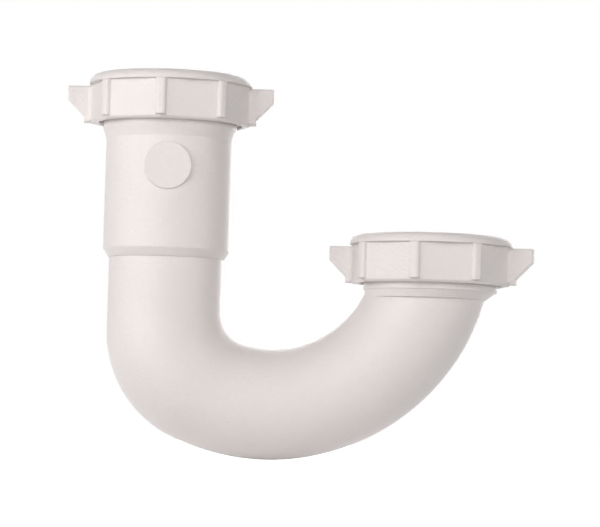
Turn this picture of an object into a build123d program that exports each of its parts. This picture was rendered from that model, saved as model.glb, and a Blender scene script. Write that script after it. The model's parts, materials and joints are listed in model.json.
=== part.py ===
from build123d import *
import os
from math import cos, isclose, radians, sin, tan

# A J-bend for a 1 1/2 inch tubular waste: one bent moulding with a long inlet socket and a short outlet hub,
# each closed by a winged slip nut over a bevelled washer.
# The J lies in the XZ plane. The origin is on the inlet axis, where the end of the pipe in the socket stops.

# Driving dimensions, in millimetres and degrees

# Pipe, wall and fit
tube_od = 38.1
tube_wall = 1.9
slip_clearance = 0.3

# Inlet socket, from its rim down
socket_wall = 1.85
socket_depth = 52.5
socket_foot = 0.9
socket_taper = 2.8
collar_wall = 3.05
collar_length = 13.0
collar_taper = 3.5

# Leg, bend and outlet hub
leg_length = 17.1
outlet_spacing = 88.9
bend_narrowing = 0.85
outer_corner_radius = 38.7
outer_handover = 25.0
inner_corner_radius = 11.0
inner_handover = 15.5
outlet_flare = 1.9
outlet_pinch = 0.5
hub_height = 13.5
hub_socket_depth = 12.7
hub_taper_height = 2.7
hub_taper_inset = 3.6
ledge = 0.35
bend_end = 172.0
span_steps = 6
turn_precision = 1e-6

# Bevelled mouth of both ends, and the washer in it
mouth_flare = 2.15
mouth_depth = 3.4
washer_flange = 2.5
washer_edge = 0.2
washer_nose_gap = 0.5
washer_bore_play = 0.2
seat_gap = 0.15

# Flat boss on the front of the socket
boss_radius = 7.9
boss_drop = 26.5
boss_rise = 0.35
boss_edge = 0.25

# Thread, 11 1/2 turns to the inch, and the play between its flanks
thread_pitch = 25.4 / 11.5
thread_depth = 1.6
thread_crest_play = 0.35
thread_flank_play = 0.2
thread_flank_angle = 30.0
thread_root = 0.3
thread_lead = 1.3
spout_turns = 4.0
nut_turns = 3.0

# Slip nut
nut_height = 16.4
nut_lip = 2.5
nut_opening_play = 0.95
nut_wall = 1.4
ring_wall = 3.4
ring_shoulder = 3.3
flat_pairs = 4
nut_foot_height = 0.8
nut_foot_inset = 0.8
nut_mouth_bevel = 0.4
rib_rise = 0.85
rib_width = 3.4
rib_round = 1.1
rib_foot = 1.1
wing_span = 7.4
wing_width = 3.4
wing_drop = 3.7
wing_tip = 4.6
wing_foot_rise = 0.4
wing_foot_span = 1.7
wing_foot_height = 1.9
wing_root_round = 2.0
wing_corner_round = 0.5
wing_edge_round = 0.45
inlet_nut_turn = -6.0
outlet_nut_turn = -15.5

# Sizes that follow from these

leg_radius = tube_od / 2
bore_radius = leg_radius + slip_clearance
socket_radius = bore_radius + socket_wall
mouth_radius = bore_radius + mouth_flare
thread_core_radius = bore_radius + collar_wall
thread_bore_radius = thread_core_radius + thread_depth
inlet_rim = socket_depth
leg_top = -socket_foot - socket_taper
leg_end = leg_top - leg_length

# The bend has an outer and an inner outline. Each is a corner arc that leaves the leg and hands over,
# short of the bottom, to a wider sweep arc that rises to the outlet.
outer_end = outlet_spacing + leg_radius + outlet_flare
inner_end = outlet_spacing - leg_radius + outlet_pinch
outer_width = outer_end + leg_radius
inner_width = inner_end - leg_radius
outer_lean = sin(radians(outer_handover))
inner_lean = sin(radians(inner_handover))
outer_sweep_radius = (outer_width - outer_corner_radius * (1 - outer_lean)) / (1 + outer_lean)
inner_sweep_radius = (inner_width - inner_corner_radius * (1 - inner_lean)) / (1 + inner_lean)

inner_corner = Vector(leg_radius + inner_corner_radius, 0, leg_end)
inner_sweep = Vector(
    inner_end - inner_sweep_radius,
    0,
    inner_corner.Z + (inner_sweep_radius - inner_corner_radius) * cos(radians(inner_handover)),
)
bend_bottom = inner_sweep.Z - inner_sweep_radius - (tube_od - bend_narrowing)
outer_sweep = Vector(outer_end - outer_sweep_radius, 0, bend_bottom + outer_sweep_radius)
outer_corner = Vector(
    outer_corner_radius - leg_radius,
    0,
    outer_sweep.Z - (outer_sweep_radius - outer_corner_radius) * cos(radians(outer_handover)),
)

# The outlet rim is level with the centre of the inner sweep.
outlet_rim = inner_sweep.Z
hub_foot = outlet_rim - hub_height

flat_apothem = thread_bore_radius + nut_wall
ring_radius = thread_bore_radius + ring_wall
nut_top = washer_flange + nut_lip
nut_bottom = nut_top - nut_height
nut_shoulder = nut_top - ring_shoulder
spout_thread_start = -thread_lead - spout_turns * thread_pitch
nut_thread_start = spout_thread_start + thread_pitch / 2

inlet = Location((0, 0, inlet_rim), (0, 0, inlet_nut_turn))
outlet = Location((outlet_spacing, 0, outlet_rim), (0, 0, outlet_nut_turn))


# The bend's round sections

def bend_touch(turn):
    """Where a circle in the bend touches the inner wall, at this turn from the leg, and the outer wall.

    Also the outward direction at both, and how many of its three outlines the outer wall has left behind.
    """
    out = Vector(-cos(radians(turn)), 0, -sin(radians(turn)))
    if turn < 90 - inner_handover:
        inner = inner_corner + out * inner_corner_radius
    else:
        inner = inner_sweep + out * inner_sweep_radius
    # The circle grows from the inner wall until it meets the outer wall: first the straight leg
    middle = inner + out * ((inner.X + leg_radius) / (1 + cos(radians(turn))))
    outward = Vector(-1, 0, 0)
    outer = Vector(-leg_radius, 0, middle.Z)
    left_behind = 0
    # then the corner arc, and past its handover the sweep arc
    for centre, radius in ((outer_corner, outer_corner_radius), (outer_sweep, outer_sweep_radius)):
        past_leg = centre is outer_corner and middle.Z < outer_corner.Z
        past_corner = centre is outer_sweep and outward.X > -outer_lean
        if past_leg or past_corner:
            arm = inner - centre
            reach = (radius**2 - arm.dot(arm)) / (2 * (radius + arm.dot(out)))
            middle = inner + out * reach
            outward = (middle - centre).normalized()
            outer = centre + outward * radius
            left_behind += 1
    return inner, out, outer, outward, left_behind


def turn_at_handover(outlines):
    """The turn from the leg at which the outer wall leaves this many outlines behind."""
    low, high = 0.0, bend_end
    while high - low > turn_precision:
        middle = (low + high) / 2
        if bend_touch(middle)[-1] < outlines:
            low = middle
        else:
            high = middle
    return high


def bend_section(turn, inset):
    """Plane and radius of the bend's round section at this turn, this far inside its outlines."""
    inner, out, outer, outward, left_behind = bend_touch(turn)
    start = inner + out * inset
    finish = outer - outward * inset
    chord = finish - start
    plane = Plane(origin=(start + finish) / 2, x_dir=(0, 1, 0), z_dir=chord.cross(Vector(0, 1, 0)))
    return plane, chord.length / 2


def bend_body(inset):
    """The body or waterway of the bend, from the end of the leg to inside the hub, lofted span by span."""
    handovers = [turn_at_handover(1), turn_at_handover(2), 90 - inner_handover]
    turns = [0.0, *sorted(handovers), bend_end]
    for low, high in zip(turns, turns[1:]):
        sections = []
        for step in range(span_steps + 1):
            plane, radius = bend_section(low + (high - low) * step / span_steps, inset)
            with BuildSketch(plane) as section:
                Circle(radius)
            sections.append(section.sketch.face())
        loft(sections, clean=False)


def spin_profile(points, axis, mode=Mode.ADD):
    """A body turned about an axis parallel to Z, from its half section in the XZ plane."""
    with BuildSketch(Plane.XZ) as section:
        with BuildLine():
            Polyline(points, close=True)
        make_face()
    revolve(section.sketch, axis=axis, mode=mode)


# Threads

def flank_half_width(radius, sense):
    """Half the width of a ridge at this radius. Sense is 1 on the spout's ridge and -1 on the nut's."""
    middle = (thread_core_radius + thread_bore_radius) / 2
    lean = tan(radians(thread_flank_angle))
    return thread_pitch / 4 - thread_flank_play / 2 - sense * (radius - middle) * lean


def thread_ridge(root, crest, sense, start, turns):
    """A right-hand ridge wound about the Z axis."""
    low = flank_half_width(root, sense)
    high = flank_half_width(crest, sense)
    with BuildLine() as path:
        Helix(thread_pitch, thread_pitch * turns, crest, center=(0, 0, start))
    with BuildSketch(Plane.XZ) as section:
        with BuildLine():
            Polyline(
                (root, start - low),
                (crest, start - high),
                (crest, start + high),
                (root, start + low),
                close=True,
            )
        make_face()
    sweep(section.sketch, path=path.line, is_frenet=True)


with BuildPart() as spout_thread:
    thread_ridge(
        root=thread_core_radius - thread_root,
        crest=thread_bore_radius - thread_crest_play,
        sense=1,
        start=spout_thread_start,
        turns=spout_turns,
    )


# Bend and its waterway

with BuildPart() as bend:
    bend_body(inset=0)

with BuildPart() as bend_waterway:
    bend_body(inset=tube_wall)


# Bent moulding

outlet_axis = Axis((outlet_spacing, 0, 0), (0, 0, 1))

with BuildPart() as j_bend:
    # Threaded collar, socket and leg
    spin_profile(
        [
            (0, inlet_rim),
            (thread_core_radius, inlet_rim),
            (thread_core_radius, inlet_rim - collar_length),
            (socket_radius, inlet_rim - collar_length - collar_taper),
            (socket_radius, -socket_foot),
            (leg_radius + ledge, leg_top),
            (leg_radius, leg_top),
            (leg_radius, leg_end),
            (0, leg_end),
        ],
        Axis.Z,
    )
    add(bend.part)
    # Flat boss on the front of the socket
    with BuildSketch(Plane(origin=(0, 0, inlet_rim - boss_drop), x_dir=(1, 0, 0), z_dir=(0, -1, 0))):
        Circle(boss_radius)
    extrude(amount=socket_radius + boss_rise)
    chamfer(j_bend.faces().sort_by(Axis.Y)[0].edges(), boss_edge)
    # Outlet hub, with a taper below it that runs out on the inside of the bend
    spin_profile(
        [
            (outlet_spacing, outlet_rim),
            (outlet_spacing + thread_core_radius, outlet_rim),
            (outlet_spacing + thread_core_radius, hub_foot),
            (outlet_spacing, hub_foot),
        ],
        outlet_axis,
    )
    with BuildSketch(Plane((outlet_spacing, 0, hub_foot))):
        Circle(thread_core_radius - ledge)
    with BuildSketch(Plane((outlet_spacing - hub_taper_inset / 2, 0, hub_foot - hub_taper_height))):
        Circle(thread_core_radius - ledge - hub_taper_inset / 2)
    loft()
    with Locations(inlet, outlet):
        add(spout_thread.part)
    # Sockets with bevelled mouths, and the waterway between them
    for rim, depth, middle, axis in (
        (inlet_rim, socket_depth, 0, Axis.Z),
        (outlet_rim, hub_socket_depth, outlet_spacing, outlet_axis),
    ):
        spin_profile(
            [
                (middle, rim),
                (middle + mouth_radius, rim),
                (middle + bore_radius, rim - mouth_depth),
                (middle + bore_radius, rim - depth),
                (middle, rim - depth),
            ],
            axis,
            mode=Mode.SUBTRACT,
        )
    Cylinder(
        leg_radius - tube_wall,
        -leg_end,
        align=(Align.CENTER, Align.CENTER, Align.MAX),
        mode=Mode.SUBTRACT,
    )
    add(bend_waterway.part, mode=Mode.SUBTRACT)


# Slip nut, about its own axis with the rim that it screws onto at zero height

flat_count = 2 * flat_pairs
flat_angle = 360 / flat_count
rib_radius = ring_radius + rib_rise
wing_reach = ring_radius + wing_span
wing_foot_radius = ring_radius + wing_foot_span
wing_bottom = nut_bottom + wing_foot_rise
wing_top = nut_top - wing_drop

with BuildPart() as wing:
    with BuildSketch(Plane.XZ) as wing_outline:
        with BuildLine():
            Polyline(
                (flat_apothem - wing_corner_round, wing_bottom),
                (wing_foot_radius, wing_bottom),
                (wing_foot_radius, wing_bottom + wing_foot_height),
                (wing_reach, wing_top - wing_tip),
                (wing_reach, wing_top),
                (flat_apothem - wing_corner_round, wing_top),
                close=True,
            )
        make_face()
        fillet(wing_outline.vertices().sort_by(Axis.X)[-2:], wing_corner_round)
    extrude(amount=wing_width / 2, both=True)
    outer_edges = wing.faces().sort_by(Axis.Y)[0].edges() + wing.faces().sort_by(Axis.Y)[-1].edges()
    root_edges = outer_edges.group_by(Axis.X)[0]
    fillet([edge for edge in outer_edges if edge not in root_edges], wing_edge_round)

with BuildPart() as slip_nut:
    # Flat-sided body
    with BuildSketch(Plane.XY.offset(nut_bottom)):
        RegularPolygon(flat_apothem, flat_count, major_radius=False)
    extrude(amount=nut_shoulder - nut_bottom)
    foot = slip_nut.faces().sort_by(Axis.Z)[0]
    chamfer(foot.edges(), nut_foot_inset, nut_foot_height, reference=foot)
    # Wings on two opposite corners, with rounded roots where they meet the flats
    with PolarLocations(0, 2):
        add(wing.part)
    with BuildSketch(Plane.XY.offset(nut_bottom + rib_foot)) as wing_roots:
        RegularPolygon(flat_apothem, flat_count, major_radius=False)
        Rectangle(2 * (wing_foot_radius - wing_edge_round), wing_width)
        inner_corners = wing_roots.vertices().filter_by(lambda vertex: abs(vertex.X) < ring_radius)
        at_wings = inner_corners.filter_by(lambda vertex: isclose(abs(vertex.Y), wing_width / 2))
        fillet(at_wings, wing_root_round)
    extrude(amount=wing_top - wing_edge_round - nut_bottom - rib_foot)
    # Ribs on the other corners
    with BuildSketch(Plane.XY.offset(nut_bottom + rib_foot)) as ribs:
        for corner in range(flat_count):
            if corner % flat_pairs:
                with Locations(Location((0, 0, 0), (0, 0, corner * flat_angle))):
                    with Locations((rib_radius / 2, 0)):
                        Rectangle(rib_radius, rib_width)
        tips = ribs.vertices().group_by(lambda vertex: round(vertex.X**2 + vertex.Y**2, 3))
        fillet(tips[-1], rib_round)
    extrude(amount=nut_shoulder - nut_bottom - rib_foot)
    # Rounded ring and lip above the flats
    with BuildSketch(Plane.XZ):
        with BuildLine():
            Line((0, nut_top), (ring_radius - ring_shoulder, nut_top))
            RadiusArc((ring_radius - ring_shoulder, nut_top), (ring_radius, nut_shoulder), ring_shoulder)
            Polyline((ring_radius, nut_shoulder), (0, nut_shoulder), (0, nut_top))
        make_face()
    revolve(axis=Axis.Z)
    # Opening in the lip, thread bore and its bevelled mouth
    opening_radius = leg_radius + nut_opening_play
    spin_profile(
        [
            (0, nut_top),
            (opening_radius, nut_top),
            (opening_radius, washer_flange),
            (thread_bore_radius, washer_flange),
            (thread_bore_radius, nut_bottom + nut_mouth_bevel),
            (thread_bore_radius + nut_mouth_bevel, nut_bottom),
            (0, nut_bottom),
        ],
        Axis.Z,
        mode=Mode.SUBTRACT,
    )
    thread_ridge(
        root=thread_bore_radius + thread_root,
        crest=thread_core_radius + thread_crest_play,
        sense=-1,
        start=nut_thread_start,
        turns=nut_turns,
    )


# Bevelled washer, about its own axis with the rim that it sits on at zero height

with BuildPart() as washer:
    washer_nose = mouth_depth - washer_nose_gap
    nose_radius = mouth_radius - mouth_flare * washer_nose / mouth_depth
    spin_profile(
        [
            (leg_radius + washer_bore_play, washer_flange),
            (thread_core_radius - washer_edge, washer_flange),
            (thread_core_radius - washer_edge, 0),
            (mouth_radius - seat_gap, 0),
            (nose_radius - seat_gap, -washer_nose),
            (leg_radius + washer_bore_play, -washer_nose),
        ],
        Axis.Z,
    )


# Label and write each piece where it stands

os.makedirs("parts", exist_ok=True)
j_bend.part.label = "j_bend"
export_step(j_bend.part, "parts/j_bend.step")
for end, place in (("inlet", inlet), ("outlet", outlet)):
    for piece, name in ((slip_nut, "slip_nut"), (washer, "washer")):
        placed = piece.part.moved(place)
        placed.label = f"{end}_{name}"
        export_step(placed, f"parts/{end}_{name}.step")
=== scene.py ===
# %% [markdown]
# # A J-bend in white plastic
#
# The object is the lower half of a sink trap: a bent pipe with a long socket on the left, a short hub on
# the right, and a winged nut on each. The solids are already made at their real size, in metres, and they
# are the fixed frame of this lesson. Here they get their finish, their light and the photograph's camera.

# %% Load the frame
import json
from math import cos, radians, sin

import bmesh
import bpy
from mathutils import Matrix, Vector


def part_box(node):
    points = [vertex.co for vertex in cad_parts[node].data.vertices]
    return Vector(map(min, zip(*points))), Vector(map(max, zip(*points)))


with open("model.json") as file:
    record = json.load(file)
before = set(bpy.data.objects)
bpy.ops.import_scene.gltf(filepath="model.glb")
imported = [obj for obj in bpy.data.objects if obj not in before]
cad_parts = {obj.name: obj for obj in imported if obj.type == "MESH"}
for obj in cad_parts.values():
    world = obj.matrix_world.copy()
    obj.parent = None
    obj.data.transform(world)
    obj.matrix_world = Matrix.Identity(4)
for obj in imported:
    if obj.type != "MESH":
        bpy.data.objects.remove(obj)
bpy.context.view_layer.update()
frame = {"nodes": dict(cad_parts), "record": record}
MM = 0.001
print("nodes:", sorted(frame["nodes"]))

# %% [markdown]
# ## Where things stand
#
# Places are read from the frame, so a change in the solids carries through. The record's mounts say where
# the two pipes enter, and the box of a node says how far it reaches. Typing the numbers in again would work
# today, and break at the first change.

# %% Read the places from the frame
mounts = {mount["name"]: mount for mount in frame["record"]["mounts"]}
inlet_axis_x = mounts["inlet"]["pos_m"][0]
outlet_axis_x = mounts["outlet"]["pos_m"][0]
bend_low_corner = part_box("j_bend")[0]
floor_level = bend_low_corner.z
print("inlet axis x, outlet axis x and floor in mm:",
      [round(value / MM, 1) for value in (inlet_axis_x, outlet_axis_x, floor_level)])

# %% [markdown]
# ## Camera
#
# The photograph looks almost straight at the flat side of the J, from a little below the nuts, so their
# undersides show. A long lens from a metre away gives the gentle perspective: the inlet nut is seen from
# about six degrees below, and the outlet nut from about three. The camera is built from three directions,
# which is easier to reason about than three rotation angles: look, across the picture, and up it.

# %% Directions of the view
VIEW_DISTANCE = 1.0
VIEW_RISE = radians(3.2)
VIEW_YAW = radians(1.5151)
VIEW_ROLL = radians(1.6869)
AIM_RIGHT_OF_MIDDLE = 0.467 * MM
AIM_HEIGHT = -3.895 * MM
aim = Vector(((inlet_axis_x + outlet_axis_x) / 2 + AIM_RIGHT_OF_MIDDLE, 0, AIM_HEIGHT))

look = Vector((sin(VIEW_YAW) * cos(VIEW_RISE), cos(VIEW_YAW) * cos(VIEW_RISE), sin(VIEW_RISE)))
level = Vector((cos(VIEW_YAW), -sin(VIEW_YAW), 0))
upright = level.cross(look)
across = level * cos(VIEW_ROLL) + upright * sin(VIEW_ROLL)
up = upright * cos(VIEW_ROLL) - level * sin(VIEW_ROLL)
place = aim - look * VIEW_DISTANCE
print("camera stands at mm:", [round(value / MM, 1) for value in place])

# %% Set up the camera
PICTURE_WIDTH_PX = 600
PIXELS_PER_MM = 2.9819
SENSOR_WIDTH_MM = 36.0
NEAR_CLIP = 10 * MM
camera_data = bpy.data.cameras.new("camera")
camera_data.sensor_width = SENSOR_WIDTH_MM
camera_data.lens = SENSOR_WIDTH_MM * VIEW_DISTANCE / MM * PIXELS_PER_MM / PICTURE_WIDTH_PX
camera_data.clip_start = NEAR_CLIP
camera = bpy.data.objects.new("camera", camera_data)
camera.matrix_world = Matrix((
    (across.x, up.x, -look.x, place.x),
    (across.y, up.y, -look.y, place.y),
    (across.z, up.z, -look.z, place.z),
    (0, 0, 0, 1),
))
bpy.context.scene.collection.objects.link(camera)
bpy.context.scene.camera = camera
print("lens in mm:", round(camera_data.lens, 1))

# %% [markdown]
# ## Node helpers
#
# A material is a small graph. Two helpers keep the graphs short: one adds a node and sets its inputs, and
# one opens a new node group with named sockets. A group holds an effect that finishes share, or that is
# easier to read on its own.


# %% Helpers for shader nodes
def add_node(tree, kind, values=None, **settings):
    """A node of this kind, with settings on the node and values on its inputs. A socket given is linked."""
    node = tree.nodes.new(kind)
    for name, value in settings.items():
        setattr(node, name, value)
    for socket, value in (values or {}).items():
        if isinstance(value, bpy.types.NodeSocket):
            tree.links.new(value, node.inputs[socket])
        else:
            node.inputs[socket].default_value = value
    return node


def new_group(name, inputs, outputs):
    """An empty shader node group, with its input and output nodes."""
    tree = bpy.data.node_groups.new(name, "ShaderNodeTree")
    for label, kind, default in inputs:
        socket = tree.interface.new_socket(label, in_out="INPUT", socket_type=kind)
        socket.default_value = default
    for label, kind in outputs:
        tree.interface.new_socket(label, in_out="OUTPUT", socket_type=kind)
    return tree, tree.nodes.new("NodeGroupInput"), tree.nodes.new("NodeGroupOutput")


print("helpers ready")

# %% [markdown]
# ## The moulded skin
#
# The steel of a mould leaves a fine even grain on the plastic, and the melt leaves slow, cloudy changes of
# tone and gloss where it cooled at different speeds. Both come from noise on Object coordinates, so they
# stay still on the piece. The grain is too fine to model, so it only tilts the surface through a bump. The
# depth of a bump is that of the whole range of the noise, and the grain mostly uses the middle third of it.

# %% Group: moulded skin
skin, skin_in, skin_out = new_group(
    "moulded skin",
    [
        ("Grain Size", "NodeSocketFloat", 1.0 * MM),
        ("Cloud Size", "NodeSocketFloat", 22 * MM),
        ("Colour", "NodeSocketColor", (0.8, 0.8, 0.8, 1)),
        ("Tone Change", "NodeSocketFloat", 0.03),
        ("Roughness", "NodeSocketFloat", 0.4),
        ("Gloss Change", "NodeSocketFloat", 0.05),
    ],
    [("Colour", "NodeSocketColor"), ("Roughness", "NodeSocketFloat"), ("Grain", "NodeSocketFloat")],
)
skin_place = add_node(skin, "ShaderNodeTexCoord")


def skin_noise(size_input, detail, roughness):
    """Noise that stays still on the piece, with features of the size that this input of the group gives."""
    scale = add_node(skin, "ShaderNodeMath", {0: 1.0, 1: skin_in.outputs[size_input]}, operation="DIVIDE")
    noise = add_node(skin, "ShaderNodeTexNoise", {
        "Vector": skin_place.outputs["Object"], "Scale": scale.outputs[0],
        "Detail": detail, "Roughness": roughness})
    return noise.outputs["Fac"]


NOISE_MIDDLE = 0.5
grain = skin_noise("Grain Size", detail=2.0, roughness=0.55)
cloud = skin_noise("Cloud Size", detail=3.0, roughness=0.5)
swing = add_node(skin, "ShaderNodeMath", {0: cloud, 1: NOISE_MIDDLE}, operation="SUBTRACT")
tone = add_node(skin, "ShaderNodeMath", {
    0: swing.outputs[0], 1: skin_in.outputs["Tone Change"], 2: 1.0}, operation="MULTIPLY_ADD")
toned = add_node(skin, "ShaderNodeVectorMath", {
    0: skin_in.outputs["Colour"], "Scale": tone.outputs[0]}, operation="SCALE")
gloss = add_node(skin, "ShaderNodeMath", {
    0: swing.outputs[0], 1: skin_in.outputs["Gloss Change"], 2: skin_in.outputs["Roughness"]},
    operation="MULTIPLY_ADD")
skin.links.new(toned.outputs[0], skin_out.inputs["Colour"])
skin.links.new(gloss.outputs[0], skin_out.inputs["Roughness"])
skin.links.new(grain, skin_out.inputs["Grain"])
print("group:", skin.name)

# %% [markdown]
# ## The parting line
#
# The two halves of the mould meet in the plane of the J, and leave a fine raised line round the moulding
# there. In the frame that plane is Y = 0, so the distance from it is all that the line needs. Modelled as a
# ridge it would cut every smooth face in two; as a height for the bump it costs one short group.

# %% Group: parting line
parting, parting_in, parting_out = new_group(
    "parting line",
    [("Half Width", "NodeSocketFloat", 0.2 * MM)],
    [("Height", "NodeSocketFloat")],
)
parting_place = add_node(parting, "ShaderNodeTexCoord")
parting_axes = add_node(parting, "ShaderNodeSeparateXYZ", {"Vector": parting_place.outputs["Object"]})
off_plane = add_node(parting, "ShaderNodeMath", {0: parting_axes.outputs["Y"]}, operation="ABSOLUTE")
ridge = add_node(parting, "ShaderNodeMapRange", {
    "Value": off_plane.outputs[0], "From Min": 0.0, "From Max": parting_in.outputs["Half Width"],
    "To Min": 1.0, "To Max": 0.0}, interpolation_type="SMOOTHSTEP")
parting.links.new(ridge.outputs["Result"], parting_out.inputs["Height"])
print("group:", parting.name)

# %% [markdown]
# ## The plastic itself
#
# A shiny clear coat over white would look like glazed china. Moulded waste fittings are duller: a middling
# roughness spreads the highlight into a soft band. No edge that came out of a mould is razor sharp either,
# so the Bevel node rounds the shading of the edges by a fraction of a millimetre, and the solids stay as
# they are.

# %% Finish: a satin plastic
PLASTIC_IOR = 1.49
EDGE_SAMPLES = 8


def satin_plastic(name, colour, roughness, grain_depth, edge_round, parting_depth=0.0):
    """A satin moulded plastic of this colour, with soft edges and, if it has a depth, a parting line."""
    material = bpy.data.materials.new(name)
    material.use_nodes = True
    tree = material.node_tree
    shader = tree.nodes["Principled BSDF"]
    surface = add_node(tree, "ShaderNodeGroup", node_tree=skin)
    surface.inputs["Colour"].default_value = (*colour, 1)
    surface.inputs["Roughness"].default_value = roughness
    soft_edge = add_node(tree, "ShaderNodeBevel", {"Radius": edge_round}, samples=EDGE_SAMPLES)
    bump = add_node(tree, "ShaderNodeBump", {
        "Strength": 1.0, "Distance": grain_depth, "Height": surface.outputs["Grain"],
        "Normal": soft_edge.outputs["Normal"]})
    if parting_depth:
        seam = add_node(tree, "ShaderNodeGroup", node_tree=parting)
        bump = add_node(tree, "ShaderNodeBump", {
            "Strength": 1.0, "Distance": parting_depth, "Height": seam.outputs["Height"],
            "Normal": bump.outputs["Normal"]})
    tree.links.new(surface.outputs["Colour"], shader.inputs["Base Color"])
    tree.links.new(surface.outputs["Roughness"], shader.inputs["Roughness"])
    tree.links.new(bump.outputs["Normal"], shader.inputs["Normal"])
    shader.inputs["IOR"].default_value = PLASTIC_IOR
    return material


print("satin plastic ready")

# %% [markdown]
# ## Who wears what
#
# The bend and the nuts are the same warm white plastic. They get a material each, because the nuts have
# rounder edges, and only the bend has a parting line in the plane Y = 0. The washers are a softer, milky
# plastic, which is duller still.

# %% Dress the pieces
WARM_WHITE = (0.80, 0.745, 0.727)
MILKY_WHITE = (0.74, 0.75, 0.73)
moulding_finish = satin_plastic(
    "moulding_white", WARM_WHITE, roughness=0.42, grain_depth=0.26 * MM, edge_round=0.45 * MM,
    parting_depth=0.06 * MM)
nut_finish = satin_plastic(
    "nut_white", WARM_WHITE, roughness=0.42, grain_depth=0.26 * MM, edge_round=0.8 * MM)
washer_finish = satin_plastic(
    "washer_milky", MILKY_WHITE, roughness=0.55, grain_depth=0.10 * MM, edge_round=0.3 * MM)
for node, finish in (
    ("j_bend", moulding_finish),
    ("inlet_slip_nut", nut_finish),
    ("outlet_slip_nut", nut_finish),
    ("inlet_washer", washer_finish),
    ("outlet_washer", washer_finish),
):
    for material_slot in frame["nodes"][node].material_slots:
        material_slot.material = finish
    print(node, "wears", finish.name)

# %% [markdown]
# ## Floor and background
#
# The photograph is a cut-out on white. A brighter light would bleach the object along with the background,
# so the floor and the world shine white by themselves, but only to the camera and to reflections. To all
# other rays the world is black, and the floor is plain matt white that takes the shadow and throws light
# back up.


# %% A switch for what the camera sees
def seen_directly(tree):
    """One for the rays of the camera and of reflections, and nought for the rest."""
    ray = add_node(tree, "ShaderNodeLightPath")
    either = add_node(tree, "ShaderNodeMath", {
        0: ray.outputs["Is Camera Ray"], 1: ray.outputs["Is Glossy Ray"]}, operation="MAXIMUM")
    return either.outputs[0]


WHITE = (1, 1, 1, 1)
print("switch ready")

# %% Floor
FLOOR_HALF = 3.0
FLOOR_PAINT = (0.85, 0.85, 0.85, 1)
floor_mesh = bpy.data.meshes.new("floor")
shape = bmesh.new()
bmesh.ops.create_grid(shape, x_segments=1, y_segments=1, size=FLOOR_HALF)
bmesh.ops.translate(shape, verts=shape.verts, vec=(aim.x, 0, floor_level))
shape.to_mesh(floor_mesh)
shape.free()
floor = bpy.data.objects.new("floor", floor_mesh)
bpy.context.scene.collection.objects.link(floor)

floor_finish = bpy.data.materials.new("floor_white")
floor_finish.use_nodes = True
floor_tree = floor_finish.node_tree
floor_tree.nodes.clear()
matt = add_node(floor_tree, "ShaderNodeBsdfDiffuse", {"Color": FLOOR_PAINT})
glow = add_node(floor_tree, "ShaderNodeEmission", {"Color": WHITE, "Strength": 1.0})
both = add_node(floor_tree, "ShaderNodeAddShader", {0: matt.outputs[0], 1: glow.outputs[0]})
shown = add_node(floor_tree, "ShaderNodeMixShader", {
    0: seen_directly(floor_tree), 1: matt.outputs[0], 2: both.outputs[0]})
add_node(floor_tree, "ShaderNodeOutputMaterial", {"Surface": shown.outputs[0]})
floor_mesh.materials.append(floor_finish)
print("floor at mm:", round(floor_level / MM, 1))

# %% World
world = bpy.data.worlds.new("studio")
world.use_nodes = True
bpy.context.scene.world = world
world_tree = world.node_tree
world_tree.nodes.clear()
sky = add_node(world_tree, "ShaderNodeBackground", {"Color": WHITE, "Strength": seen_directly(world_tree)})
add_node(world_tree, "ShaderNodeOutputWorld", {"Surface": sky.outputs[0]})
print("world:", world.name)

# %% [markdown]
# ## Lamps
#
# All the light on the object comes from large soft lamps about a metre away. Three from the left and the
# front make the bright band down the socket and the leg. The fill keeps the right side from going grey, the
# high one lights what faces up, and the one behind is there for views of the back. Light adds up, so each
# lamp can be judged by itself with the others off, and its strength set from that.

# %% Lamps
LAMP_SIZE = 0.8
LAMPS = (
    ("key", (-0.82, -0.73, 0.10), 6.6),
    ("left", (-1.09, -0.20, 0.10), 4.0),
    ("front", (-0.34, -1.07, 0.10), 4.2),
    ("fill", (0.92, -0.70, 0.10), 5.6),
    ("high", (0.00, -0.80, 0.80), 2.0),
    ("back", (0.28, 1.10, 0.28), 8.0),
)
for name, start, watts in LAMPS:
    lamp_data = bpy.data.lights.new(name, "AREA")
    lamp_data.shape = "SQUARE"
    lamp_data.size = LAMP_SIZE
    lamp_data.energy = watts
    lamp = bpy.data.objects.new(name, lamp_data)
    lamp.location = start
    lamp.rotation_euler = (aim - Vector(start)).to_track_quat("-Z", "Y").to_euler()
    bpy.context.scene.collection.objects.link(lamp)
    print(name, "at", start, "with", watts, "W")

# %% [markdown]
# ## Colours
#
# The Standard view shows a colour about as it is written, where a filmic one would grey the whites. Nothing
# in this lesson moves or swells a piece, so the box of the dressed object has to equal the box of the
# solids.

# %% Finish
bpy.context.scene.view_settings.view_transform = "Standard"
